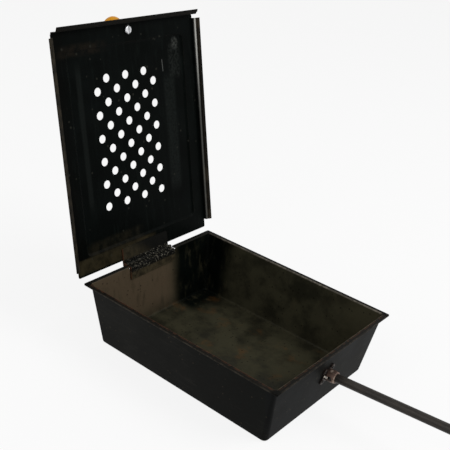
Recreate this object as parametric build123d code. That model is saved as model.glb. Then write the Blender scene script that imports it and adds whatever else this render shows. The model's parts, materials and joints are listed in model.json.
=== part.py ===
from build123d import *
import os
from math import atan, cos, degrees, radians, sin

# Stovetop popcorn popper: a folded sheet-steel pan with a perforated, hinged lid
# and a long handle on the end wall. Millimetres. The origin is the middle of the
# pan's flat bottom, +X points along the handle, +Z is up. The lid is drawn shut
# and then swung open to its resting angle.

# ---- pan ----
PAN_SHEET = 0.8
BASE_LENGTH = 202.0          # outside, at the bottom
BASE_WIDTH = 152.5
RIM_LENGTH = 228.0           # outside, over the rim flanges
RIM_WIDTH = 178.0
PAN_HEIGHT = 64.0
FLANGE_WIDTH = 5.0           # rim flange, from the wall's inner face outwards
HEM_GAP = 0.2
HEM_RETURN = 2.5
BASE_CORNER = 5.0            # corner radius in plan at the bottom
RIM_CORNER = 3.5             # and at the top of the walls
BOTTOM_BEND = 3.0
RIM_BEND = 1.0
RIM_STRIP = 3.0              # height of wall that is drawn with the rim
CORNER_SLIT = 0.3            # open mitre between two flanges
CORNER_CLIP = 6.2            # from the slit's inner end to the clipped tip

# ---- hinge ----
AXIS_X = -116.5
AXIS_Z = 62.2
HINGE_WIDTH = 63.5
HINGE_MIDDLE = -2.0
KNUCKLES = 5
KNUCKLE_GAP = 0.3
BARREL_RADIUS = 2.2
PIN_RADIUS = 1.2
PIN_HEAD = 1.7
PIN_TAIL = 2.2               # the pin stands out this far on the right
RUNNING_FIT = 0.08
LEAF = 0.9
LEAF_CORNER = 2.5
LEAF_CLEARANCE = 0.15        # from one leaf's edge to the other leaf's knuckles
LID_LEAF_REACH = 17.5        # from the axis to the leaf's free edge
PAN_LEAF_FOOT = 50.0         # height of the pan leaf's lower edge
SLOT_LEFT = 0.75             # rim cut-out beyond the hinge's two ends
SLOT_RIGHT = 1.75
SLOT_FLOOR = 61.6
WELD_RADIUS = 1.75
WELD_DEPTH = 0.12
WELD_PITCH = 24.0
OPEN_ANGLE = 100.95

# ---- lid ----
LID_SHEET = 0.6
LID_CLEARANCE = 0.3          # between the lid's side walls and the rim
LID_FRONT_CLEARANCE = 0.4
LID_LIFT = 0.4               # the leaf holds the panel this far off the rim
LID_BACK = -112.1
LID_BEND = 0.8
SIDE_WALL = 3.0
SIDE_LIP = 5.6
FRONT_WALL = 6.7
FRONT_LIP = 4.3
LIP_DROOP = 2.0
LIP_HEM = 2.2
LIP_HEM_GAP = 0.15
NOTCH_FRONT = 4.7            # side flanges stop this far from the front wall
NOTCH_BACK = 8.7             # and from the back edge
HOLE = 8.0
HOLE_ROWS = 12
HOLE_COLUMN_PITCH = 24.0
HOLE_ROW_PITCH = 11.0
FIRST_ROW_X = 67.3
HOLES_MIDDLE_Y = -6.0
FIELD_BACK = -95.0           # embossed field of the panel, at its foot
FIELD_FRONT = 97.0
FIELD_LEFT = -76.0
FIELD_RIGHT = 74.0
FIELD_RISE = 1.5
FIELD_SLOPE = 2.2
FIELD_CORNER = 6.0
FIELD_BEND = 1.6

# ---- knob ----
KNOB_X = 107.9
KNOB_FOOT = 7.0
KNOB_NECK = 5.4
KNOB_RADIUS = 12.0
KNOB_HEIGHT = 26.0
SCREW_RADIUS = 2.0
SCREW_CLEARANCE = 0.1
SCREW_LENGTH = 14.0
SCREW_HEAD = 4.0
SCREW_HEAD_HEIGHT = 2.4
SCREW_SLOT = 1.1

# ---- handle ----
SOCKET_HEIGHT = 36.4         # where the rod's axis meets the end wall
SOCKET_PLATE = 1.6
SOCKET_DISC = 7.2
SOCKET_LENGTH = 11.0
EAR_OFFSET = 5.7
EAR_RADIUS = 3.0
RIVET_RADIUS = 1.3
RIVET_HEAD = 1.9
CROSS_PIN_AT = 6.5           # from the wall, along the rod
CROSS_PIN_SEAT = 5.1         # half the width over the spot-faced seats
ROD_RISE = 4.65              # degrees above level
ROD_RADIUS = 4.0
ROD_INSET = 2.0              # gap between the wall and the rod's inner end
ROD_END_RADIUS = 3.0
BEAD_RISE = 1.5
BEAD_HALF = 2.0
GRIP_START = 269.0           # along the rod, from the wall
GRIP_END = 387.0
GRIP_RADIUS = 14.0
FERRULE_LENGTH = 14.0
FERRULE_SHEET = 0.8
WASHER_RADIUS = 7.5
WASHER = 1.2
NUT_FLATS = 10.0
NUT_HEIGHT = 5.6

WALL_FLARE = (RIM_LENGTH - BASE_LENGTH) / 2 - FLANGE_WIDTH + PAN_SHEET
FLARE_ANGLE = degrees(atan(WALL_FLARE / PAN_HEIGHT))
FLARE_COS = cos(radians(FLARE_ANGLE))
FLARE_SIN = sin(radians(FLARE_ANGLE))
TOP_LENGTH = BASE_LENGTH + 2 * WALL_FLARE
TOP_WIDTH = BASE_WIDTH + 2 * WALL_FLARE
LID_INSIDE = PAN_HEIGHT + LID_LIFT
LID_OUTSIDE = LID_INSIDE + LID_SHEET
LID_FRONT = RIM_LENGTH / 2 + LID_FRONT_CLEARANCE + LID_SHEET
LID_SIDE = RIM_WIDTH / 2 + LID_CLEARANCE + LID_SHEET
HINGE_AXIS = Axis((AXIS_X, 0, AXIS_Z), (0, -1, 0))


def wall_outside_at(base_size, z):
    """Distance from the middle to a wall's outer face at height z."""
    return base_size / 2 + WALL_FLARE * z / PAN_HEIGHT


# Outer face of the end wall where the handle goes on, and the rod's own line.
WALL_FACE = Plane(
    origin=(wall_outside_at(BASE_LENGTH, SOCKET_HEIGHT), 0, SOCKET_HEIGHT),
    x_dir=(0, 1, 0),
    z_dir=(FLARE_COS, 0, -FLARE_SIN),
)
ROD_LINE = Plane(
    origin=WALL_FACE.origin,
    x_dir=(0, 1, 0),
    z_dir=(cos(radians(ROD_RISE)), 0, sin(radians(ROD_RISE))),
)


def box_between(x0, x1, y0, y1, z0, z1):
    middle = ((x0 + x1) / 2, (y0 + y1) / 2, (z0 + z1) / 2)
    return Pos(*middle) * Box(x1 - x0, y1 - y0, z1 - z0)


def turned(side):
    """Solid of revolution about Z from an outline of (radius, height) points."""
    return revolve(make_face(Plane.XZ * side), Axis.Z)


def headed_pin(radius, low, high, head):
    """Round pin along Z with a domed head beyond each end of its shank."""
    rise = 0.5 * head
    side = Polyline((head, high), (radius, high), (radius, low), (head, low))
    side += TangentArc((0, low - rise), (head, low), tangent=(1, 0))
    side += Line((0, low - rise), (0, high + rise))
    side += TangentArc((0, high + rise), (head, high), tangent=(1, 0))
    return turned(side)


# ---- pan ----
def flared_block(inset, foot, corner_inset, bend):
    """Solid with the pan's flare, inset from the outer faces, standing on z = foot."""
    length = 2 * (wall_outside_at(BASE_LENGTH, foot) - inset)
    width = 2 * (wall_outside_at(BASE_WIDTH, foot) - inset)
    low = RectangleRounded(length, width, BASE_CORNER - corner_inset)
    high = RectangleRounded(TOP_LENGTH - 2 * inset, TOP_WIDTH - 2 * inset, RIM_CORNER - corner_inset)
    block = loft([Pos(0, 0, foot) * low, Pos(0, 0, PAN_HEIGHT) * high], ruled=True)
    return fillet(block.faces().sort_by(Axis.Z)[0].edges(), bend)


def rim_line(base_size, rim_size, with_wall):
    """Centre line of a rim flange and its hem, in the plane across the wall."""
    half = PAN_SHEET / 2
    lean = half / FLARE_COS
    level = PAN_HEIGHT - half
    foot = PAN_HEIGHT - RIM_STRIP
    turn = half + HEM_GAP / 2
    fold = (rim_size / 2 - half - turn, level)
    elbow = (wall_outside_at(base_size, level) - lean, level)
    if with_wall:
        start = (wall_outside_at(base_size, foot) - lean, foot)
        flat = FilletPolyline(start, elbow, fold, radius=RIM_BEND)
    else:
        flat = Line((elbow[0] + 2 * RIM_BEND, level), fold)
    under = (fold[0], level - 2 * turn)
    hem = ThreePointArc(fold, (fold[0] + turn, level - turn), under)
    back = Line(under, (under[0] - HEM_RETURN, under[1]))
    return flat + hem + back


def rim_flange(base_size, rim_size, other_base):
    """One side's flange, drawn towards +X: wall, bend and hem along the straight wall,
    and the flat and hem alone carried on to the mitre at each corner."""
    bent = Plane.XZ * trace(rim_line(base_size, rim_size, True), PAN_SHEET)
    flat = Plane.XZ * trace(rim_line(base_size, rim_size, False), PAN_SHEET)
    straight = wall_outside_at(other_base, PAN_HEIGHT) - RIM_CORNER
    skew = (base_size - other_base) / 2
    reach = rim_size
    mitre = make_face(Polyline((skew, 0), (reach, reach - skew), (reach, skew - reach), close=True))
    flat_run = extrude(flat, reach, both=True) & extrude(mitre, 2 * PAN_HEIGHT)
    return extrude(bent, straight, both=True) + flat_run


def corner_cuts():
    """Mitres between neighbouring flanges, outside the walls' corners, with clipped tips."""
    length = 2 * FLANGE_WIDTH
    slit = Pos(length / 2, 0, 0) * Box(length, CORNER_SLIT, 3 * FLANGE_WIDTH)
    clip = Pos(CORNER_CLIP + length / 2, 0, 0) * Box(length, 2 * length, 3 * FLANGE_WIDTH)
    cuts = []
    for sx, sy, turn in ((1, 1, 45), (-1, 1, 135), (-1, -1, -135), (1, -1, -45)):
        corner = Pos(sx * (TOP_LENGTH / 2 - 1), sy * (TOP_WIDTH / 2 - 1), PAN_HEIGHT)
        cuts.append(corner * Rot(0, 0, turn) * (slit + clip))
    return cuts


def hinge_slot():
    """Flange and top of the back wall cut away behind the hinge."""
    left = HINGE_MIDDLE - HINGE_WIDTH / 2 - SLOT_LEFT
    right = HINGE_MIDDLE + HINGE_WIDTH / 2 + SLOT_RIGHT
    inside = -TOP_LENGTH / 2 + FLANGE_WIDTH
    return box_between(-RIM_LENGTH, inside, left, right, SLOT_FLOOR, PAN_HEIGHT + 1)


def ear_spots():
    return [(sx * EAR_OFFSET, sy * EAR_OFFSET) for sx in (1, -1) for sy in (1, -1)]


def make_pan():
    outer = flared_block(0, 0, 0, BOTTOM_BEND)
    inner = flared_block(PAN_SHEET / FLARE_COS, PAN_SHEET, PAN_SHEET, BOTTOM_BEND - PAN_SHEET)
    rim_zone = box_between(-RIM_LENGTH, RIM_LENGTH, -RIM_WIDTH, RIM_WIDTH,
                           PAN_HEIGHT - 2 * RIM_BEND, PAN_HEIGHT + 1)
    pan = outer - inner - rim_zone
    end = rim_flange(BASE_LENGTH, RIM_LENGTH, BASE_WIDTH)
    side = rim_flange(BASE_WIDTH, RIM_WIDTH, BASE_LENGTH)
    for turn, flange in ((0, end), (180, end), (90, side), (-90, side)):
        pan += Rot(0, 0, turn) * flange
    pan -= corner_cuts()
    pan -= hinge_slot()
    pan -= [WALL_FACE * Pos(a, b, 0) * Cylinder(RIVET_RADIUS, 4 * PAN_SHEET) for a, b in ear_spots()]
    return pan


# ---- hinge ----
def knuckle_spans(first):
    """Start and end in Y of every second knuckle, counted from number first."""
    pitch = HINGE_WIDTH / KNUCKLES
    start = HINGE_MIDDLE - HINGE_WIDTH / 2
    spans = []
    for number in range(first, KNUCKLES, 2):
        low_gap = KNUCKLE_GAP / 2 if number > 0 else 0
        high_gap = KNUCKLE_GAP / 2 if number < KNUCKLES - 1 else 0
        low = start + number * pitch + low_gap
        high = start + (number + 1) * pitch - high_gap
        spans.append((low, high))
    return spans


def hinge_leaf(line, tongue_x, spans, bore):
    """Sheet leaf along a centre line: coped to clear the other leaf's knuckles, with a
    tongue reaching back to each of its own rolled knuckles."""
    end = HINGE_MIDDLE + HINGE_WIDTH / 2
    plate = Pos(0, end, 0) * extrude(Plane.XZ * trace(line, LEAF), HINGE_WIDTH)
    coping = Plane.XZ * Circle(BARREL_RADIUS + LEAF_CLEARANCE)
    leaf = plate - Pos(AXIS_X, end, AXIS_Z) * extrude(coping, HINGE_WIDTH)
    roll = Plane.XZ * (Circle(BARREL_RADIUS) - Circle(bore))
    for low, high in spans:
        leaf += plate & box_between(tongue_x, 0, low, high, 0, 2 * PAN_HEIGHT)
        leaf += Pos(AXIS_X, high, AXIS_Z) * extrude(roll, high - low)
    return leaf


def weld_marks(face):
    """Row of three shallow round spot-weld marks across a leaf."""
    mark = Cylinder(WELD_RADIUS, 2 * WELD_DEPTH)
    return [face * Pos(i * WELD_PITCH, 0, 0) * mark for i in (-1, 0, 1)]


def make_pan_leaf():
    """Leaves the barrel over the cut-down wall and bends down inside it."""
    half = LEAF / 2
    lean = (PAN_SHEET + half) / FLARE_COS
    level = AXIS_Z + half
    corner = (lean - wall_outside_at(BASE_LENGTH, level), level)
    foot = (lean - wall_outside_at(BASE_LENGTH, PAN_LEAF_FOOT), PAN_LEAF_FOOT)
    line = FilletPolyline((AXIS_X, level), corner, foot, radius=LEAF)
    tongue_x = AXIS_X + (PIN_RADIUS + BARREL_RADIUS) / 2
    leaf = hinge_leaf(line, tongue_x, knuckle_spans(0), PIN_RADIUS)
    low_edges = leaf.edges().filter_by(lambda e: e.center().Z < PAN_LEAF_FOOT + half)
    leaf = fillet(low_edges.filter_by(lambda e: e.length < 2 * LEAF), LEAF_CORNER)
    weld_z = PAN_LEAF_FOOT + 5.5
    inside_x = (PAN_SHEET + LEAF) / FLARE_COS - wall_outside_at(BASE_LENGTH, weld_z)
    face = Plane((inside_x, HINGE_MIDDLE, weld_z), x_dir=(0, 1, 0), z_dir=(FLARE_COS, 0, FLARE_SIN))
    return leaf - weld_marks(face)


def make_lid_leaf():
    """Leaves the top of the barrel and lies flat under the lid's panel."""
    level = LID_INSIDE - LEAF / 2
    line = Line((AXIS_X, level), (AXIS_X + LID_LEAF_REACH, level))
    leaf = hinge_leaf(line, AXIS_X, knuckle_spans(1), PIN_RADIUS + RUNNING_FIT)
    leaf = fillet(leaf.edges().filter_by(Axis.Z).sort_by(Axis.X)[-2:], LEAF_CORNER)
    weld_x = AXIS_X + LID_LEAF_REACH - 6
    face = Plane((weld_x, HINGE_MIDDLE, LID_INSIDE - LEAF), x_dir=(0, 1, 0), z_dir=(0, 0, -1))
    return leaf - weld_marks(face)


def make_hinge_pin():
    """Pin through all five knuckles and a little beyond, both ends peened over."""
    pin = headed_pin(PIN_RADIUS, -HINGE_WIDTH / 2 - PIN_TAIL, HINGE_WIDTH / 2, PIN_HEAD)
    return Pos(AXIS_X, HINGE_MIDDLE, AXIS_Z) * Rot(90, 0, 0) * pin


# ---- lid ----
def lip_line(wall_out, depth, reach):
    """Centre line across a lid edge: panel, wall, drooping lip and its hem."""
    half = LID_SHEET / 2
    level = LID_INSIDE + half
    wall = wall_out - half
    elbow = LID_INSIDE - depth
    turn = half + LIP_HEM_GAP / 2
    slope = atan(LIP_DROOP / reach)
    out = Vector(cos(slope), -sin(slope))
    under = Vector(-sin(slope), -cos(slope))
    fold = Vector(wall, elbow) + out * ((reach - turn) / cos(slope))
    flat = FilletPolyline((wall - 10, level), (wall, level), (wall, elbow), fold, radius=LID_BEND)
    hem = ThreePointArc(fold, fold + (out + under) * turn, fold + under * (2 * turn))
    back = Line(fold + under * (2 * turn), fold + under * (2 * turn) - out * LIP_HEM)
    return flat + hem + back


def embossed_field(face_z):
    """Low block that lifts the middle of the panel off one of its faces."""
    length = FIELD_FRONT - FIELD_BACK
    width = FIELD_RIGHT - FIELD_LEFT
    foot = RectangleRounded(length, width, FIELD_CORNER)
    top = RectangleRounded(length - 2 * FIELD_SLOPE, width - 2 * FIELD_SLOPE, FIELD_CORNER - FIELD_SLOPE)
    block = loft([foot, Pos(0, 0, FIELD_RISE) * top], ruled=True)
    block = fillet(block.faces().sort_by(Axis.Z)[-1].edges(), FIELD_BEND)
    return Pos((FIELD_BACK + FIELD_FRONT) / 2, (FIELD_LEFT + FIELD_RIGHT) / 2, face_z) * block


def vent_holes():
    """Twelve staggered rows, of three and four holes in turn."""
    punch = Cylinder(HOLE / 2, 4 * LID_SHEET)
    holes = []
    for row in range(HOLE_ROWS):
        in_row = 3 + row % 2
        x = FIRST_ROW_X - row * HOLE_ROW_PITCH
        for i in range(in_row):
            y = HOLES_MIDDLE_Y + (i - (in_row - 1) / 2) * HOLE_COLUMN_PITCH
            holes.append(Pos(x, y, LID_INSIDE + FIELD_RISE) * punch)
    return holes


def make_lid():
    inside = LID_SIDE - LID_SHEET
    panel = box_between(LID_BACK, LID_FRONT - 2, -inside, inside, LID_INSIDE, LID_OUTSIDE)
    panel = fillet(panel.edges().filter_by(Axis.Z).sort_by(Axis.X)[:2], 1.5)
    panel += embossed_field(LID_OUTSIDE)
    panel -= embossed_field(LID_INSIDE)
    side_start = LID_BACK + NOTCH_BACK
    side_run = LID_FRONT - NOTCH_FRONT - side_start
    side_section = trace(lip_line(LID_SIDE, SIDE_WALL, SIDE_LIP), LID_SHEET)
    side = Pos(side_start, 0, 0) * extrude(Plane.YZ * side_section, side_run)
    front_section = trace(lip_line(LID_FRONT, FRONT_WALL, FRONT_LIP), LID_SHEET)
    front = extrude(Plane.XZ * front_section, inside - 0.5, both=True)
    lid = panel + side + mirror(side, Plane.XZ) + front
    lid -= vent_holes()
    lid -= Pos(KNOB_X, 0, LID_INSIDE) * Cylinder(SCREW_RADIUS, 4 * LID_SHEET)
    return lid


# ---- knob ----
def make_knob():
    """Turned mushroom knob on the lid's outer face, bored blind for its screw."""
    bore = SCREW_RADIUS + SCREW_CLEARANCE
    depth = SCREW_LENGTH + 0.5
    foot = Polyline((0, KNOB_HEIGHT), (0, depth), (bore, depth), (bore, 0), (KNOB_FOOT, 0), (KNOB_FOOT, 2))
    neck = ThreePointArc((KNOB_FOOT, 2), (KNOB_NECK, 7), (KNOB_FOOT, 12))
    swell = ThreePointArc((KNOB_FOOT, 12), (10.6, 14.6), (KNOB_RADIUS, 18.5))
    rounding = ThreePointArc((KNOB_RADIUS, 18.5), (10.2, 22.9), (6, 25.1))
    crown = TangentArc((0, KNOB_HEIGHT), (6, 25.1), tangent=(1, 0))
    return Pos(KNOB_X, 0, LID_OUTSIDE) * turned(foot + neck + swell + rounding + crown)


def make_knob_screw():
    """Slotted pan-head screw, put in from the inside of the lid."""
    head = Pos(0, 0, -SCREW_HEAD_HEIGHT / 2) * Cylinder(SCREW_HEAD, SCREW_HEAD_HEIGHT)
    head = fillet(head.faces().sort_by(Axis.Z)[0].edges(), 1.4)
    head -= Pos(0, 0, -SCREW_HEAD_HEIGHT) * Box(4 * SCREW_HEAD, SCREW_SLOT, SCREW_HEAD_HEIGHT)
    shank = Pos(0, 0, SCREW_LENGTH / 2) * Cylinder(SCREW_RADIUS, SCREW_LENGTH)
    return Pos(KNOB_X, 0, LID_INSIDE) * (head + shank)


# ---- handle ----
def across_rod(shape):
    """Turn a shape drawn along Z to lie across the rod at the cross pin."""
    return ROD_LINE * Pos(0, 0, CROSS_PIN_AT) * Rot(0, 90, 0) * shape


def make_socket():
    """Domed boss on a four-eared plate that lies flat on the sloping end wall."""
    outline = Circle(SOCKET_DISC)
    for a, b in ear_spots():
        outline += Pos(a, b) * Circle(EAR_RADIUS)
    plate = extrude(outline, SOCKET_PLATE)
    plate -= [Pos(a, b, 0) * Cylinder(RIVET_RADIUS, 4 * SOCKET_PLATE) for a, b in ear_spots()]
    side = Polyline((4.7, SOCKET_LENGTH), (0, SOCKET_LENGTH), (0, 0), (5.5, 0))
    side += ThreePointArc((5.5, 0), (5.8, 5.0), (5.4, SOCKET_LENGTH - 1))
    side += ThreePointArc((5.4, SOCKET_LENGTH - 1), (5.2, SOCKET_LENGTH - 0.3), (4.7, SOCKET_LENGTH))
    behind_wall = WALL_FACE * Pos(0, 0, -SOCKET_LENGTH) * Box(60, 60, 2 * SOCKET_LENGTH)
    socket = WALL_FACE * plate + (ROD_LINE * turned(side) - behind_wall)
    socket -= ROD_LINE * Pos(0, 0, ROD_INSET + SOCKET_LENGTH) * Cylinder(ROD_RADIUS, 2 * SOCKET_LENGTH)
    seat = Pos(0, 0, CROSS_PIN_SEAT + 3) * Cylinder(2.3, 6)
    socket -= across_rod(seat)
    socket -= across_rod(Rot(180, 0, 0) * seat)
    socket -= across_rod(Cylinder(RIVET_RADIUS, 4 * CROSS_PIN_SEAT))
    return socket


def make_socket_rivet(sx, sy):
    pin = headed_pin(RIVET_RADIUS, -PAN_SHEET, SOCKET_PLATE, RIVET_HEAD)
    return WALL_FACE * Pos(sx * EAR_OFFSET, sy * EAR_OFFSET, 0) * pin


def make_cross_pin():
    return across_rod(headed_pin(RIVET_RADIUS, -CROSS_PIN_SEAT, CROSS_PIN_SEAT, RIVET_HEAD))


def make_rod():
    """Round rod with a swaged bead in front of the grip and a reduced end for the nut."""
    bead = GRIP_START - 1 - BEAD_HALF
    tip = GRIP_END + WASHER + NUT_HEIGHT + 1
    inner = Polyline((ROD_RADIUS, bead - BEAD_HALF), (ROD_RADIUS, ROD_INSET), (0, ROD_INSET))
    outer = Polyline((0, ROD_INSET), (0, tip), (ROD_END_RADIUS, tip), (ROD_END_RADIUS, GRIP_END),
                     (ROD_RADIUS, GRIP_END), (ROD_RADIUS, bead + BEAD_HALF))
    swage = ThreePointArc((ROD_RADIUS, bead + BEAD_HALF), (ROD_RADIUS + BEAD_RISE, bead),
                          (ROD_RADIUS, bead - BEAD_HALF))
    return ROD_LINE * turned(inner + outer + swage) - across_rod(Cylinder(RIVET_RADIUS, 4 * ROD_RADIUS))


def make_ferrule():
    """Drawn steel cup on the grip's nose, its front closed in round the rod."""
    front = GRIP_START - 1
    nose = 8.2
    mouth = 9.4
    cup = Pos(0, 0, front + FERRULE_LENGTH / 2) * Cone(nose, mouth, FERRULE_LENGTH)
    cup = fillet(cup.faces().sort_by(Axis.Z)[0].edges(), 1.2)
    hollow = Cone(nose - FERRULE_SHEET, mouth - FERRULE_SHEET, FERRULE_LENGTH)
    cup -= Pos(0, 0, GRIP_START + FERRULE_LENGTH / 2) * hollow
    cup -= Pos(0, 0, front) * Cylinder(ROD_RADIUS, 3 * FERRULE_LENGTH)
    return ROD_LINE * cup


def make_grip():
    """Turned wooden grip, bored through for the rod, its nose stepped into the ferrule."""
    shoulder = GRIP_START + FERRULE_LENGTH - 1
    side = Polyline((11.2, GRIP_END), (ROD_RADIUS, GRIP_END), (ROD_RADIUS, GRIP_START),
                    (7.4, GRIP_START), (8.5, shoulder), (9.8, shoulder))
    side += Spline((9.8, shoulder), (12.4, shoulder + 24), (11.4, shoulder + 52),
                   (GRIP_RADIUS, GRIP_END - 22), (13.2, GRIP_END - 5), (11.2, GRIP_END))
    return ROD_LINE * turned(side)


def make_grip_washer():
    washer = Cylinder(WASHER_RADIUS, WASHER) - Cylinder(ROD_END_RADIUS, WASHER)
    return ROD_LINE * Pos(0, 0, GRIP_END + WASHER / 2) * washer


def make_cap_nut():
    """Domed hexagon nut over the rod's end."""
    body = extrude(RegularPolygon(NUT_FLATS / 2, 6, major_radius=False), NUT_HEIGHT)
    body &= Cylinder(0.56 * NUT_FLATS, 4 * NUT_HEIGHT)
    half_space = Pos(0, 0, NUT_HEIGHT + NUT_FLATS / 2) * Box(NUT_FLATS, NUT_FLATS, NUT_FLATS)
    dome = Pos(0, 0, NUT_HEIGHT) * Sphere(0.46 * NUT_FLATS) & half_space
    nut = body + dome - Cylinder(ROD_END_RADIUS, 2 * (NUT_HEIGHT + 1))
    return ROD_LINE * Pos(0, 0, GRIP_END + WASHER) * nut


def swung_open(shape):
    """Turn a piece of the shut lid to its resting, open position."""
    return shape.rotate(HINGE_AXIS, OPEN_ANGLE)


parts = {
    "pan": make_pan(),
    "pan_hinge_leaf": make_pan_leaf(),
    "lid_hinge_leaf": swung_open(make_lid_leaf()),
    "hinge_pin": make_hinge_pin(),
    "lid": swung_open(make_lid()),
    "lid_knob": swung_open(make_knob()),
    "knob_screw": swung_open(make_knob_screw()),
    "handle_socket": make_socket(),
    "socket_rivet_upper_left": make_socket_rivet(-1, 1),
    "socket_rivet_upper_right": make_socket_rivet(1, 1),
    "socket_rivet_lower_left": make_socket_rivet(-1, -1),
    "socket_rivet_lower_right": make_socket_rivet(1, -1),
    "socket_cross_pin": make_cross_pin(),
    "handle_rod": make_rod(),
    "grip_ferrule": make_ferrule(),
    "handle_grip": make_grip(),
    "grip_washer": make_grip_washer(),
    "grip_cap_nut": make_cap_nut(),
}

os.makedirs("parts", exist_ok=True)
for name, shape in parts.items():
    export_step(shape, f"parts/{name}.step")
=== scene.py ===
import bmesh
import bpy
import json
from math import atan, cos, radians, sin
from mathutils import Matrix, Vector


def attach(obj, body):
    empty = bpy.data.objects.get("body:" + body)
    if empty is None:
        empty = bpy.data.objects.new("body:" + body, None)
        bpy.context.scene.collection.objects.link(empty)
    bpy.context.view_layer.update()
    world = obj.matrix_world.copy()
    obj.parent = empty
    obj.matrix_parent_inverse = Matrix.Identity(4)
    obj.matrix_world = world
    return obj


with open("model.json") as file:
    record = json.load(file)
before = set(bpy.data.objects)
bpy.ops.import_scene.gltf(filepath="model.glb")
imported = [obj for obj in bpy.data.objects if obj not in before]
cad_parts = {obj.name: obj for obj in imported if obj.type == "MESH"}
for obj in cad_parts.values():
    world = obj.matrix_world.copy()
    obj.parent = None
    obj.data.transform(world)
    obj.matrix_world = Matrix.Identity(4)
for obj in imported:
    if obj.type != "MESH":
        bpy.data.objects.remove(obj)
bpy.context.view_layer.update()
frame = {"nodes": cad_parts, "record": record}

# Finishes, rim corners, light and camera of the stovetop popcorn popper. Lengths are
# millimetres in the part's own frame. The floor, lamps and camera are in metres.
MM = 0.001

# ---- the part's own lines, repeated from its source ----
PAN_HEIGHT = 64.0
BASE_HALF_LENGTH = 101.0
BASE_HALF_WIDTH = 76.25
BASE_CORNER = 5.0
RIM_CORNER = 3.5
WALL_FLARE = 8.8                      # a wall leans out this far over its height
PAN_SHEET = 0.8
HALF_SHEET = PAN_SHEET / 2
FLARE = atan(WALL_FLARE / PAN_HEIGHT)
HINGE_X, HINGE_Z = -116.5, 62.2
HINGE_LEFT = -33.75
HINGE_AXIS = (HINGE_X, 0, HINGE_Z)
LID_SIDE = 89.9                       # outside of the lid's side walls
LID_FRONT = 115.0                     # outside of its front wall, when shut
LID_ANGLE = radians(100.95)
LID_ALONG = (cos(LID_ANGLE), 0, sin(LID_ANGLE))
LID_OUT = (-sin(LID_ANGLE), 0, cos(LID_ANGLE))
SOCKET_Z = 36.4
SOCKET_LENGTH = 11.0
GRIP_START, GRIP_END = 269.0, 387.0   # along the rod, from the wall
ROD_RISE = radians(4.65)
ROD_START = (BASE_HALF_LENGTH + WALL_FLARE * SOCKET_Z / PAN_HEIGHT, 0, SOCKET_Z)
ROD_ALONG = (cos(ROD_RISE), 0, sin(ROD_RISE))
ROD_UP = (-sin(ROD_RISE), 0, cos(ROD_RISE))

# ---- stage ----
WHITE = (1, 1, 1, 1)
PAPER = (0.86, 0.86, 0.86, 1)
FILL_LIGHT = 0.42
BACKDROP_LIGHT = 1.0
FLOOR_HALF = 3.0
FLOOR_GLOW = 0.86
# Name, place, spot it is aimed at, width and watts.
LAMPS = (
    ("key_lamp", (1.1, 0.5, 1.3), (0, 0, 0.05), 0.9, 15),
    ("fill_lamp", (-0.2, -1.5, 1.2), (0, 0, 0.08), 1.2, 8),
)
CAMERA_PLACE = Vector((0.38233, -0.52893, 0.45364))
CAMERA_BEARING = 0.6541
CAMERA_PITCH = 0.449
CAMERA_ROLL = 0.1052
CAMERA_LENS = 64.52
CAMERA_SENSOR = 36.0
CAMERA_CLIP = 0.01


def tone(red, green, blue):
    """Linear colour of an ordinary screen colour, 0 to 255."""
    def linear(channel):
        share = channel / 255
        return share / 12.92 if share <= 0.04045 else ((share + 0.055) / 1.055) ** 2.4
    return (linear(red), linear(green), linear(blue), 1.0)


# ---- materials: plain arithmetic on shader sockets ----
class Wire:
    """A number, colour or vector that varies over the surface, or a shader."""

    def __init__(self, wiring, socket):
        self.wiring = wiring
        self.socket = socket

    def __add__(self, other):
        return self.wiring.maths("ADD", self, other)

    def __sub__(self, other):
        return self.wiring.maths("SUBTRACT", self, other)

    def __rsub__(self, other):
        return self.wiring.maths("SUBTRACT", other, self)

    def __mul__(self, other):
        return self.wiring.maths("MULTIPLY", self, other)

    def __pow__(self, other):
        return self.wiring.maths("POWER", self, other)

    __radd__ = __add__
    __rmul__ = __mul__


class Wiring:
    """The nodes of one material or of the world."""

    def __init__(self, owner):
        owner.use_nodes = True
        self.tree = owner.node_tree
        self.tree.nodes.clear()

    def node(self, kind, settings=None, inputs=None, out=0):
        made = self.tree.nodes.new(kind)
        for name, value in (settings or {}).items():
            setattr(made, name, value)
        for name, value in (inputs or {}).items():
            if isinstance(value, Wire):
                self.tree.links.new(value.socket, made.inputs[name])
            else:
                made.inputs[name].default_value = value
        return Wire(self, made.outputs[out]) if made.outputs else None

    def maths(self, operation, first, second=0):
        return self.node("ShaderNodeMath", {"operation": operation}, {0: first, 1: second})

    def larger(self, first, second):
        return self.maths("MAXIMUM", first, second)

    def size_of(self, value):
        return self.maths("ABSOLUTE", value)

    def vector(self, operation, first, second, out="Vector"):
        settings = {"operation": operation}
        return self.node("ShaderNodeVectorMath", settings, {0: first, 1: second}, out)

    def seen_directly(self):
        """1 where the ray comes from the camera, a reflection or through glass."""
        rays = ("Is Camera Ray", "Is Glossy Ray", "Is Transmission Ray")
        camera, glossy, through = (self.node("ShaderNodeLightPath", out=ray) for ray in rays)
        return self.larger(self.larger(camera, glossy), through)

    def choose(self, share, first, second):
        """Shader going from the first to the second."""
        return self.node("ShaderNodeMixShader", {}, {0: share, 1: first, 2: second})


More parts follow.
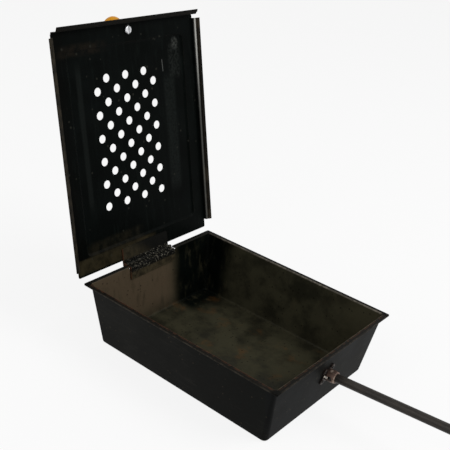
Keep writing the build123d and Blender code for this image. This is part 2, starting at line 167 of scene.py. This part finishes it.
class Finish(Wiring):
    """One node material on the part."""

    WORN_TURN = (0.985, 0.86)         # how far the normal turns where wear begins and is full

    def __init__(self, name):
        self.material = bpy.data.materials.new(name)
        super().__init__(self.material)
        place = self.node("ShaderNodeTexCoord", out="Object")
        self.place = self.vector("MULTIPLY", place, (1 / MM,) * 3)
        apart = {"Vector": self.place}
        self.x, self.y, self.z = (
            self.node("ShaderNodeSeparateXYZ", {}, apart, out=axis) for axis in range(3)
        )

    def along(self, direction, origin):
        """Distance in a direction from a point."""
        moved = self.vector("SUBTRACT", self.place, origin)
        return self.vector("DOT_PRODUCT", moved, direction, out="Value")

    def rise(self, value, low, high, bottom=0.0, top=1.0):
        """Smooth step from bottom to top as the value goes from low to high."""
        ends = {"Value": value, "From Min": low, "From Max": high, "To Min": bottom, "To Max": top}
        return self.node("ShaderNodeMapRange", {"interpolation_type": "SMOOTHSTEP"}, ends)

    def band(self, value, low, high, soft):
        """1 between low and high, falling off over a soft distance at each end."""
        return self.rise(value, low - soft, low) * self.rise(value, high + soft, high)

    def scaled(self, shares, seed):
        """The place measured in pattern sizes, moved on by the seed."""
        spread = self.vector("MULTIPLY", self.place, shares)
        return self.vector("ADD", spread, (seed, 1.7 * seed, 2.3 * seed))

    def noise(self, size, detail, roughness, stretch=(1, 1, 1), seed=0.0):
        """Cloudy pattern whose features are about size millimetres across."""
        moved = self.scaled(tuple(1 / (size * s) for s in stretch), seed)
        settings = {"Vector": moved, "Scale": 1.0, "Detail": detail, "Roughness": roughness}
        return self.node("ShaderNodeTexNoise", {}, settings)

    def specks(self, size, share, seed):
        """Small round spots: 1 inside, on about this share of the cells."""
        cells = {"Vector": self.scaled((1 / size,) * 3, seed), "Scale": 1.0}
        near = self.node("ShaderNodeTexVoronoi", {}, cells, out="Distance")
        pick = self.node("ShaderNodeTexVoronoi", {}, cells, out="Color")
        chosen = self.node("ShaderNodeSeparateColor", {}, {"Color": pick}, out="Red")
        return self.rise(near, 0.34, 0.2) * self.rise(chosen, share, share * 0.9)

    def spot_in(self, first, first_middle, first_half, second, second_middle, second_half):
        """Soft oval patch in two measured directions."""
        a = (first - first_middle) * (1 / first_half)
        b = (second - second_middle) * (1 / second_half)
        return self.rise(a * a + b * b, 1.6, 0.2)

    def worn_edge(self, radius):
        """1 along edges, where the rounded-off normal leaves the surface's own."""
        true = self.node("ShaderNodeNewGeometry", out="Normal")
        soft = self.node("ShaderNodeBevel", {"samples": 6}, {"Radius": radius * MM})
        return self.rise(self.vector("DOT_PRODUCT", true, soft, out="Value"), *self.WORN_TURN)

    def mix(self, share, first, second):
        """Colour going from the first to the second."""
        inputs = {0: share, 6: first, 7: second}
        return self.node("ShaderNodeMix", {"data_type": "RGBA"}, inputs, out=2)

    def layered(self, colour, *layers):
        """Colour with others laid over it in turn, each by its share."""
        for share, over in layers:
            colour = self.mix(share, colour, over)
        return colour

    def finish(self, colour, roughness, height, depth, level, metallic=0.0, coat=None):
        """Close the material. Height 0 to 1 lifts the surface by depth millimetres.
        A coat of varnish is given by its weight and roughness."""
        bump = {"Height": height, "Distance": depth * MM, "Strength": 1.0}
        inputs = {
            "Base Color": colour,
            "Roughness": roughness,
            "Metallic": metallic,
            "Specular IOR Level": level,
            "Normal": self.node("ShaderNodeBump", {}, bump),
        }
        if coat:
            inputs["Coat Weight"], inputs["Coat Roughness"] = coat
        shader = self.node("ShaderNodeBsdfPrincipled", {}, inputs)
        self.node("ShaderNodeOutputMaterial", {}, {"Surface": shader})
        return self.material


def pan_finish():
    """Black paint outside, burnt-on oil and brown bare metal inside, with painted shade on the
    outer walls and rim corners and a painted highlight on the right rim's bend.
    """
    f = Finish("worn_black_pan")

    # Distance outwards from the middle of the sheet, round the corners too.
    flare = f.z * (WALL_FLARE / PAN_HEIGHT)
    from_end = f.size_of(f.x) - flare - (BASE_HALF_LENGTH - HALF_SHEET)
    from_side = f.size_of(f.y) - flare - (BASE_HALF_WIDTH - HALF_SHEET)
    radius = BASE_CORNER - f.z * ((BASE_CORNER - RIM_CORNER) / PAN_HEIGHT)
    past_end = from_end + radius - HALF_SHEET
    past_side = from_side + radius - HALF_SHEET
    round_end = f.larger(past_end, 0)
    round_side = f.larger(past_side, 0)
    in_plan = f.maths("MINIMUM", f.larger(past_end, past_side), 0)
    turned = (round_end * round_end + round_side * round_side) ** 0.5
    from_wall = turned + in_plan - radius + HALF_SHEET
    inside = f.rise(from_wall, 0.1, -0.1) * f.rise(f.z, 0.3, 0.5)

    # Outside: sooty paint, mottled, with faint rubs and a few fine scratches; painted shade darkens
    # the -y side wall towards the handle end and the end wall towards -y.
    cloud = f.noise(26, 5, 0.6)
    fine = f.noise(2.4, 4, 0.65, seed=3)
    streak = f.noise(9, 4, 0.6, stretch=(3.5, 3.5, 0.35), seed=8)
    smoke = f.noise(38, 3, 0.5, seed=33)
    lines = f.noise(30, 2, 0.5, stretch=(1, 1, 0.02), seed=21)
    scratch = f.rise(lines, 0.60, 0.66) * f.rise(cloud, 0.5, 0.62)
    handle_end_shade = f.rise(f.x, -90, 105) * f.rise(f.y, 0, -70)
    end_wall = f.rise(f.x, 99, 101)
    outside = f.layered(
        f.mix(f.rise(cloud, 0.32, 0.7), tone(17, 17, 15), tone(27, 27, 25)),
        (f.rise(streak, 0.52, 0.75, top=0.3), tone(40, 38, 34)),
        # painted shade: the -y side wall goes darker towards the handle end
        (handle_end_shade * 0.85, tone(7, 8, 6)),
        (end_wall * f.rise(smoke, 0.38, 0.62) * 0.55, tone(33, 35, 36)),
        # painted shade: the end wall goes darker towards -y
        (end_wall * f.rise(f.y, 45, -75) * 0.9, tone(9, 10, 10)),
        (f.specks(2.6, 0.06, 5) * 0.35, tone(74, 66, 52)),
        (scratch * 0.22, tone(82, 78, 72)),
    )

    # Inside: brown patina over the walls, blacker where the oil burnt on.
    patch = f.noise(24, 5, 0.58, seed=11)
    drip = f.noise(7, 5, 0.6, stretch=(1, 1, 3.4), seed=14)
    back_wall = f.rise(f.x, -99, -103) * f.rise(f.y, 40, 12)
    near_end = f.rise(f.x, 30, 108) * f.rise(f.y, 60, 80)
    burnt = f.rise(f.x, -62, -88) * f.rise(f.y, 22, 40)
    amber = f.rise(f.noise(30, 5, 0.6, seed=17), 0.55, 0.72) * f.rise(f.z, 5, 1)
    within = f.layered(
        f.mix(f.rise(patch, 0.36, 0.66), tone(55, 53, 40), tone(35, 34, 26)),
        (f.rise(drip, 0.54, 0.74, top=0.4), tone(62, 57, 42)),
        (back_wall * f.rise(drip, 0.3, 0.5, 0.5, 0.9), tone(84, 72, 57)),
        (near_end * 0.5, tone(70, 66, 50)),
        (burnt * f.rise(drip, 0.74, 0.5, 0.45, 1.0), tone(5, 8, 6)),
        (amber * 0.45, tone(84, 56, 28)),
        (f.specks(3.1, 0.12, 9) * 0.6, tone(12, 11, 8)),
    )

    # Rims: black flanges, rubbed along the bend and the hem, with a painted highlight along the
    # right rim's bend and painted shade in the corners.
    rub = f.rise(f.noise(14, 5, 0.65, seed=25), 0.36, 0.58)
    nick = f.rise(f.noise(3.5, 4, 0.65, seed=27), 0.40, 0.60)
    top = f.rise(f.z, PAN_HEIGHT - 1.6, PAN_HEIGHT - 0.6)
    flange = top * f.rise(from_wall, 0.2, 0.9)
    on_side = f.rise(from_side - from_end, -0.5, 0.5)
    on_end = f.rise(from_end - from_side, -0.5, 0.5)
    right_rim_highlight = f.rise(f.y, 79, 82) * on_side
    left_rim = f.rise(f.y, -79, -82) * on_side
    front_rim = f.rise(f.x, 104, 107) * on_end
    bend = top * f.band(from_wall, -0.5, 0.5, 0.3) * (0.45 + 0.55 * nick)
    brown = f.band(from_wall, 0.8, 2.0, 0.5) * top * (front_rim + left_rim)
    hem = f.rise(from_wall, 3.6, 4.3) * f.rise(f.z, 61.2, 61.8)
    in_corner = f.rise(from_end, -2.6, -0.6) * f.rise(from_side, -2.6, -0.6)
    corner = in_corner * f.rise(f.z, 59.5, 62)
    colour = f.layered(
        f.mix(inside, outside, within),
        (flange * 0.8, tone(19, 18, 15)),
        (bend * 0.35, tone(46, 44, 38)),
        # painted highlight along the right rim's bend, broken up where rubbed
        (bend * right_rim_highlight * (0.45 + 0.5 * rub), tone(112, 106, 96)),
        (bend * left_rim * (0.25 + 0.45 * rub), tone(92, 52, 30)),
        (bend * front_rim * (0.35 + 0.45 * rub), tone(86, 78, 62)),
        (brown * nick * 0.5, tone(66, 44, 30)),
        (hem * (0.12 + 0.40 * rub * nick), tone(74, 68, 60)),
        # painted shade in the rim corners
        (corner * 0.9, tone(6, 6, 5)),
        (f.worn_edge(0.6) * rub * (1 - corner) * 0.25, tone(84, 74, 58)),
    )

    oily = inside * (0.06 + 0.20 * f.rise(patch, 0.42, 0.6))
    roughness = 0.44 + 0.14 * cloud + 0.10 * fine - oily
    dents = f.noise(60, 2, 0.5, seed=30)
    runs = f.rise(drip, 0.5, 0.7) * inside
    height = 0.55 * dents + 0.30 * cloud + 0.05 * fine + 0.10 * runs
    return f.finish(colour, roughness, height, depth=0.55, level=0.035)


def lid_finish():
    """Glossy black enamel with oil-browned borders, a rubbed top corner, painted reflection streaks
    and a painted highlight along the right lip's bend.
    """
    f = Finish("black_enamel_lid")
    up = f.along(LID_ALONG, HINGE_AXIS) + HINGE_X      # x on the shut lid
    out = f.along(LID_OUT, HINGE_AXIS) + HINGE_Z       # z on the shut lid
    cloud = f.noise(30, 5, 0.6, seed=2)
    fine = f.noise(2.2, 4, 0.6, seed=4)
    reflection_streaks = f.noise(11, 5, 0.62, stretch=(1, 0.35, 3.0), seed=31)
    bright_band = f.band(f.y, 47, 57, 5) * f.band(up, -50, 50, 14)
    faint_line = f.band(f.y, -64.5, -61.5, 2.5) * f.band(up, -40, 70, 20)

    # Oil stains on the back border and brown along the front border.
    stain = f.noise(9, 5, 0.62, seed=6)
    tan_edge = f.band(up, -109, -97, 2.5) * f.band(f.y, -84, 8, 9)
    haze = f.band(up, -96, -86, 5) * f.band(f.y, -66, -10, 12)
    front_brown = f.band(up, 94, 99, 5) * f.band(f.y, -76, -40, 16)

    # Scuff near the front right corner and the scratch beside it.
    grain = f.rise(f.noise(2.4, 4, 0.7, seed=12), 0.40, 0.60)
    scuff = f.spot_in(up, 88.5, 6.0, f.y, 63.0, 4.6)
    trail = f.band(up, 60, 84, 8) * f.band(f.y, 56, 66, 5)
    off_line = f.size_of((up - 69) * -0.05 - (f.y - 44.2))
    scratch = f.rise(off_line, 0.75, 0.25) * f.band(up, 64, 74, 1.5)

    # Side and front lips: satin black, rubbed grey along their bends and hems, with a painted
    # highlight along the right lip's bend.
    from_side = f.size_of(f.y) - LID_SIDE
    side_lip = f.rise(from_side, -0.6, 0.2)
    front_lip = f.rise(up, LID_FRONT - 0.6, LID_FRONT + 0.2)
    right_half = f.rise(f.y, -10, 10)
    dark_middle = right_half * f.band(up, -30, 70, 25)
    bend_highlight = f.band(from_side, -0.2, 0.8, 0.5) * f.rise(out, PAN_HEIGHT - 0.8, PAN_HEIGHT - 1.4)
    rub = f.rise(f.noise(10, 5, 0.65, seed=15), 0.40, 0.62)

    colour = f.layered(
        f.mix(f.rise(cloud, 0.35, 0.68), tone(3, 5, 4), tone(6, 9, 8)),
        # painted reflection: soft lighter streaks along the lid
        (f.rise(reflection_streaks, 0.50, 0.74, top=0.5), tone(15, 20, 18)),
        (bright_band * f.rise(fine, 0.35, 0.6, 0.2, 0.5), tone(30, 34, 32)),
        (faint_line * 0.3, tone(34, 38, 36)),
        (f.rise(f.y, -72, -88) * 0.6, tone(4, 4, 3)),
        (tan_edge * f.rise(stain, 0.30, 0.58, 0.4, 0.95), tone(47, 42, 29)),
        (haze * f.rise(stain, 0.36, 0.6, 0.1, 0.5), tone(36, 33, 24)),
        (front_brown * f.rise(stain, 0.36, 0.6, 0.05, 0.4), tone(36, 30, 23)),
        (scuff * (0.15 + 0.85 * grain) * 0.85, tone(62, 64, 61)),
        (trail * grain * 0.35, tone(46, 49, 46)),
        (scratch * 0.8, tone(84, 86, 83)),
        (f.specks(4.2, 0.05, 7) * 0.5, tone(48, 48, 42)),
        (side_lip * 0.9, tone(30, 28, 24)),
        (front_lip * 0.8, tone(22, 21, 19)),
        (side_lip * f.rise(stain, 0.42, 0.62) * 0.5, tone(60, 54, 44)),
        (side_lip * dark_middle * 0.8, tone(15, 15, 13)),
        # painted highlight along the right lip's bend
        (bend_highlight * f.rise(up, 10, 100, 0.15, 0.95) * right_half, tone(178, 178, 172)),
        (f.worn_edge(0.5) * (0.15 + 0.6 * rub), tone(72, 62, 50)),
    )
    roughness = 0.26 + 0.16 * cloud + 0.12 * fine + 0.25 * scuff * grain
    height = 0.75 * f.noise(55, 2, 0.5, seed=18) + 0.20 * cloud + 0.05 * fine
    return f.finish(colour, roughness, height, depth=0.45, level=0.02)


def hinge_finish():
    """Steel browned by oil, caked with a black crust round the knuckles and black on the pan leaf
    just under the barrel.
    """
    f = Finish("browned_hinge_steel")
    stain = f.noise(6, 5, 0.62, seed=1)
    fine = f.noise(0.9, 3, 0.6, stretch=(1, 2, 1), seed=5)
    crust = f.rise(f.noise(2.1, 4, 0.7, seed=19), 0.56, 0.61)
    on_lid = f.rise(f.z, 64.6, 66)
    fading = f.rise(f.y + (f.z - 70) * 1.2 + 10 * stain, -12, 14)
    knuckle = f.rise(f.larger(f.size_of(f.x - HINGE_X), f.size_of(f.z - HINGE_Z)), 3.6, 2.5)
    below_lid = 1 - f.rise(f.z, 65.2, 67.5)
    # black over the knuckles and along the pan leaf just under the barrel
    knuckle_grime_and_dark_strip = f.larger(f.rise(f.z + 2.5 * stain, 58.0, 60.0) * below_lid, knuckle)
    seam = f.band(f.y, HINGE_LEFT - 0.85, HINGE_LEFT + 1.15, 0.5)
    bare_edge = f.worn_edge(0.3) * (1 - knuckle_grime_and_dark_strip) * (1 - on_lid)
    colour = f.layered(
        f.mix(f.rise(stain, 0.35, 0.65), tone(38, 34, 24), tone(64, 57, 42)),
        (on_lid * 0.5, tone(30, 28, 19)),
        (on_lid * fading * 0.95, tone(5, 6, 5)),
        (knuckle_grime_and_dark_strip * 0.97, tone(4, 5, 4)),
        (knuckle_grime_and_dark_strip * crust * f.rise(f.y, -36, 0, 0.35, 0.9), tone(112, 108, 96)),
        (seam * f.rise(stain, 0.3, 0.5) * 0.7, tone(60, 33, 18)),
        (bare_edge * 0.2, tone(84, 75, 58)),
    )
    roughness = 0.50 + 0.20 * stain + 0.12 * crust
    height = 0.45 * stain + 0.2 * fine + 0.6 * crust * knuckle_grime_and_dark_strip
    return f.finish(colour, roughness, height, depth=0.25, level=0.08, metallic=0.15)


def knob_finish():
    """Turned wood under yellow varnish."""
    f = Finish("varnished_knob")
    out = f.along(LID_OUT, HINGE_AXIS)
    rings = f.noise(3.2, 5, 0.6, stretch=(4, 0.45, 4), seed=3)
    pores = f.rise(f.noise(0.7, 3, 0.6, stretch=(9, 0.6, 9), seed=6), 0.55, 0.72)
    turning = f.noise(0.55, 2, 0.5, stretch=(30, 30, 30), seed=9)
    colour = f.layered(
        f.mix(f.rise(rings, 0.32, 0.68), tone(196, 128, 2), tone(216, 152, 6)),
        (pores * 0.55, tone(150, 84, 22)),
        (f.rise(out, 6.5, 3.0) * 0.6, tone(120, 66, 20)),
    )
    roughness = 0.36 + 0.14 * rings
    height = 0.5 * rings + 0.3 * pores + 0.2 * turning
    return f.finish(colour, roughness, height, depth=0.10, level=0.2, coat=(0.06, 0.15))


def zinc_finish():
    """Pale plating, a little hazed."""
    f = Finish("zinc_plated_screw")
    haze = f.noise(1.6, 4, 0.6, seed=2)
    fine = f.noise(0.4, 3, 0.6, seed=4)
    colour = f.layered(
        f.mix(f.rise(haze, 0.35, 0.65), tone(176, 178, 180), tone(222, 223, 224)),
        (f.worn_edge(0.35) * 0.5, tone(240, 240, 240)),
    )
    roughness = 0.24 + 0.18 * haze + 0.08 * fine
    height = 0.6 * haze + 0.4 * fine
    return f.finish(colour, roughness, height, depth=0.05, level=0.5, metallic=1.0)


def socket_finish():
    """Bronze gone brown, black on its plate and rubbed bright on the boss's edges, with painted
    highlights on the boss and along the collar.
    """
    f = Finish("tarnished_socket_bronze")
    cloud = f.noise(3.6, 5, 0.62, seed=7)
    fine = f.noise(0.8, 4, 0.6, seed=9)
    from_wall = f.along((cos(FLARE), 0, -sin(FLARE)), ROD_START)
    bright_pits = f.rise(from_wall, 2.6, 3.4) * f.rise(fine, 0.58, 0.68)
    boss_edge = f.worn_edge(0.4) * f.rise(from_wall, 2.2, 3.0)
    # painted highlights: two glints on the boss and a line on the collar's -y side
    low_glint = f.spot_in(f.y, -5.6, 1.4, f.z, 36.6, 1.2) * f.band(from_wall, 1.8, 4.2, 0.6)
    high_glint = f.spot_in(f.x, 111.6, 1.3, f.y, -1.0, 1.6) * f.rise(f.z, 39, 40.5)
    collar_highlight = f.band(from_wall, SOCKET_LENGTH - 1.1, SOCKET_LENGTH - 0.1, 0.4) * f.rise(f.y, 1, -3)
    colour = f.layered(
        f.mix(f.rise(cloud, 0.36, 0.62), tone(62, 50, 44), tone(108, 86, 76)),
        (f.rise(from_wall, 2.6, 1.2) * 0.9, tone(12, 11, 10)),
        (bright_pits * 0.6, tone(168, 148, 132)),
        (boss_edge * f.rise(cloud, 0.34, 0.5, 0.1, 0.6), tone(150, 124, 104)),
        (low_glint * 0.95, tone(240, 234, 224)),
        (high_glint * 0.8, tone(190, 172, 156)),
        (collar_highlight * f.rise(fine, 0.42, 0.56) * 0.8, tone(176, 158, 142)),
    )
    roughness = 0.34 + 0.26 * cloud + 0.10 * fine
    height = 0.6 * cloud + 0.4 * fine
    return f.finish(colour, roughness, height, depth=0.16, level=0.5, metallic=0.75)


def rivet_finish():
    """Dark steel heads with lighter rims."""
    f = Finish("dark_rivet_steel")
    cloud = f.noise(1.8, 4, 0.6, seed=5)
    fine = f.noise(0.5, 3, 0.6, seed=6)
    colour = f.layered(
        f.mix(f.rise(cloud, 0.36, 0.64), tone(20, 19, 17), tone(40, 36, 32)),
        (f.worn_edge(0.4) * 0.35, tone(92, 80, 68)),
    )
    roughness = 0.36 + 0.22 * cloud + 0.08 * fine
    height = 0.6 * cloud + 0.4 * fine
    return f.finish(colour, roughness, height, depth=0.08, level=0.5, metallic=0.6)


def rod_finish():
    """Drawn steel, dark brown-grey, with lengthwise lines and handled patches, and painted shade
    along its underside.
    """
    f = Finish("dark_drawn_rod")
    along = f.along(ROD_ALONG, ROD_START)
    upward = f.along(ROD_UP, ROD_START)
    lines = f.noise(1.1, 4, 0.65, stretch=(26, 1, 1), seed=4)
    cloud = f.noise(16, 5, 0.6, stretch=(2.2, 1, 1), seed=8)
    pits = f.specks(2.2, 0.10, 3)
    colour = f.layered(
        f.mix(f.rise(cloud, 0.34, 0.66), tone(34, 31, 28), tone(52, 48, 43)),
        (f.rise(lines, 0.48, 0.7) * 0.35, tone(74, 68, 61)),
        (f.rise(along, 26, 4) * 0.55, tone(34, 30, 27)),
        # painted shade along the rod's underside
        (f.rise(upward, -1, -4) * 0.35, tone(28, 26, 24)),
        (pits * 0.6, tone(58, 38, 24)),
        (f.worn_edge(0.5) * 0.6, tone(132, 124, 112)),
    )
    roughness = 0.34 + 0.18 * cloud + 0.14 * lines
    height = 0.5 * lines + 0.4 * cloud - 0.1 * pits
    return f.finish(colour, roughness, height, depth=0.10, level=0.5, metallic=0.65)


def grip_finish():
    """Turned beech, oiled and darkened by hands."""
    f = Finish("oiled_wooden_grip")
    along = f.along(ROD_ALONG, ROD_START)
    growth = f.noise(5.5, 4, 0.6, stretch=(11, 1, 1), seed=2)
    flecks = f.rise(f.noise(1.1, 4, 0.65, stretch=(9, 1, 1), seed=6), 0.56, 0.7)
    cloud = f.noise(34, 4, 0.6, seed=9)
    rings = f.maths("SINE", growth * 34) * 0.5 + 0.5
    ends = 1 - f.band(along, GRIP_START + 21, GRIP_END - 9, 10)
    colour = f.layered(
        f.mix(rings, tone(150, 96, 54), tone(178, 120, 72)),
        (flecks * 0.55, tone(104, 62, 34)),
        (f.rise(cloud, 0.42, 0.68) * 0.5, tone(112, 68, 38)),
        (ends * 0.55, tone(84, 52, 32)),
    )
    roughness = 0.44 + 0.12 * cloud + 0.10 * flecks
    height = 0.35 * rings + 0.35 * (1 - flecks) + 0.3 * cloud
    return f.finish(colour, roughness, height, depth=0.12, level=0.5, coat=(0.18, 0.3))


SLOT_FINISHES = {
    "pan_steel": pan_finish(),
    "lid_steel": lid_finish(),
    "hinge_steel": hinge_finish(),
    "knob_wood": knob_finish(),
    "zinc_screw": zinc_finish(),
    "socket_bronze": socket_finish(),
    "rivet_steel": rivet_finish(),
    "rod_steel": rod_finish(),
    "grip_wood": grip_finish(),
}

for subpart in frame["record"]["subparts"]:
    node = frame["nodes"][subpart["node"]]
    node.data.materials.clear()
    node.data.materials.append(SLOT_FINISHES[subpart["material_slot"]])


# ---- rim corners ----
# The wall's top turns over into the flanges round each corner of the pan. The
# turn is one strip: its cross-section is carried round the corner's own centre.
WALL_TOP = 62.0                       # where the pan's own walls end in a corner
TURN_FOOT = 61.5                      # the strip starts inside them
HIDDEN_SHEET = 0.5                    # and is thinner there
BEND_X, BEND_Z = 110.213, 62.6        # centre of the end flange's bend
BEND_RADIUS = 1.0
BEND_ANGLES = (172.2, 158, 144, 130, 116, 103, 90)
TURN_STEP = 6
FLAT_START = 111.341                  # where the flange's flat takes over
LAP = 0.05                            # the strip goes on this far into the flange
TURN_X = BASE_HALF_LENGTH + WALL_FLARE - RIM_CORNER
TURN_Y = BASE_HALF_WIDTH + WALL_FLARE - RIM_CORNER


def wall_corner(z, offset):
    """Ring on the wall's corner: how far its centre is drawn back, radius and height."""
    radius = BASE_CORNER - (BASE_CORNER - RIM_CORNER) * z / PAN_HEIGHT
    drawn_back = WALL_FLARE * (1 - z / PAN_HEIGHT) - RIM_CORNER + radius
    return drawn_back, radius - HALF_SHEET + offset, z


def turn_section():
    """Closed outline of the strip: inside face going up, flat, outside face going down."""
    hidden = HIDDEN_SHEET / 2
    faces = []
    for side in (-1, 1):
        face = [
            wall_corner(TURN_FOOT, side * hidden),
            wall_corner(WALL_TOP, side * hidden),
            wall_corner(WALL_TOP, side * HALF_SHEET),
        ]
        reach = BEND_RADIUS - side * HALF_SHEET
        for angle in BEND_ANGLES:
            x = BEND_X + reach * cos(radians(angle))
            face.append((0.0, x - TURN_X, BEND_Z + reach * sin(radians(angle))))
        face.append((0.0, None, face[-1][2]))      # the flat's end: its reach varies
        faces.append(face)
    inner, outer = faces
    return inner + outer[::-1]


def corner_turn(name, toward_x, toward_y):
    """One corner strip, drawn in the first quarter and mirrored to its own."""
    angles = range(0, 90 + TURN_STEP, TURN_STEP)
    shape = bmesh.new()
    rings = []
    for angle in angles:
        across, over = cos(radians(angle)), sin(radians(angle))
        flat_reach = (FLAT_START + LAP - TURN_X) / max(across, over)
        ring = []
        for drawn_back, radius, z in turn_section():
            away = flat_reach if radius is None else radius
            x = TURN_X - drawn_back + away * across - (LAP if angle == angles[-1] else 0)
            y = TURN_Y - drawn_back + away * over - (LAP if angle == angles[0] else 0)
            ring.append(shape.verts.new((toward_x * x * MM, toward_y * y * MM, z * MM)))
        rings.append(ring)
    for first, second in zip(rings, rings[1:]):
        for i in range(len(first)):
            j = (i + 1) % len(first)
            shape.faces.new((first[i], first[j], second[j], second[i]))
    shape.faces.new(rings[0])
    shape.faces.new(rings[-1][::-1])
    bmesh.ops.recalc_face_normals(shape, faces=shape.faces)
    mesh = bpy.data.meshes.new(name)
    shape.to_mesh(mesh)
    shape.free()
    mesh.materials.append(SLOT_FINISHES["pan_steel"])
    strip = bpy.data.objects.new(name, mesh)
    bpy.context.scene.collection.objects.link(strip)
    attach(strip, "popper")


corner_turn("pan_corner_front_left", 1, -1)
corner_turn("pan_corner_front_right", 1, 1)
corner_turn("pan_corner_back_left", -1, -1)
corner_turn("pan_corner_back_right", -1, 1)


def light_world():
    """Soft even light, with a white backdrop for whatever looks straight at it."""
    world = bpy.data.worlds.new("studio")
    bpy.context.scene.world = world
    w = Wiring(world)
    fill = w.node("ShaderNodeBackground", {}, {"Color": WHITE, "Strength": FILL_LIGHT})
    backdrop = w.node("ShaderNodeBackground", {}, {"Color": WHITE, "Strength": BACKDROP_LIGHT})
    surface = w.choose(w.seen_directly(), fill, backdrop)
    w.node("ShaderNodeOutputWorld", {}, {"Surface": surface})


def lay_floor():
    """Pale floor: partly lit by itself, so that it stays white and keeps a soft shadow."""
    square = [(-1, -1), (1, -1), (1, 1), (-1, 1)]
    mesh = bpy.data.meshes.new("floor")
    mesh.from_pydata([(FLOOR_HALF * x, FLOOR_HALF * y, 0.0) for x, y in square], [], [(0, 1, 2, 3)])
    floor = bpy.data.objects.new("floor", mesh)
    bpy.context.scene.collection.objects.link(floor)
    material = bpy.data.materials.new("floor_paper")
    w = Wiring(material)
    paper = w.node("ShaderNodeBsdfDiffuse", {}, {"Color": PAPER})
    glow = w.node("ShaderNodeEmission")
    surface = w.choose(w.seen_directly() * FLOOR_GLOW, paper, glow)
    w.node("ShaderNodeOutputMaterial", {}, {"Surface": surface})
    mesh.materials.append(material)


def hang_lamp(name, place, aim, size, watts):
    """Soft square lamp, pointed at a spot on the part."""
    lamp = bpy.data.lights.new(name, "AREA")
    lamp.size = size
    lamp.energy = watts
    holder = bpy.data.objects.new(name, lamp)
    holder.location = place
    holder.rotation_euler = (Vector(aim) - Vector(place)).to_track_quat("-Z", "Y").to_euler()
    bpy.context.scene.collection.objects.link(holder)


def set_camera():
    """Camera fitted to the photograph: bearing, pitch and a slight roll."""
    back = Vector((
        sin(CAMERA_BEARING) * cos(CAMERA_PITCH),
        -cos(CAMERA_BEARING) * cos(CAMERA_PITCH),
        sin(CAMERA_PITCH),
    ))
    level = Vector((cos(CAMERA_BEARING), sin(CAMERA_BEARING), 0))
    upright = back.cross(level)
    right = cos(CAMERA_ROLL) * level + sin(CAMERA_ROLL) * upright
    up = cos(CAMERA_ROLL) * upright - sin(CAMERA_ROLL) * level
    lens = bpy.data.cameras.new("camera")
    lens.lens = CAMERA_LENS
    lens.sensor_width = CAMERA_SENSOR
    lens.clip_start = CAMERA_CLIP
    camera = bpy.data.objects.new("camera", lens)
    turn = Matrix((right, up, back)).transposed().to_4x4()
    camera.matrix_world = Matrix.Translation(CAMERA_PLACE) @ turn
    bpy.context.scene.collection.objects.link(camera)
    bpy.context.scene.camera = camera


light_world()
lay_floor()
for lamp_settings in LAMPS:
    hang_lamp(*lamp_settings)
set_camera()
bpy.context.scene.view_settings.view_transform = "Standard"
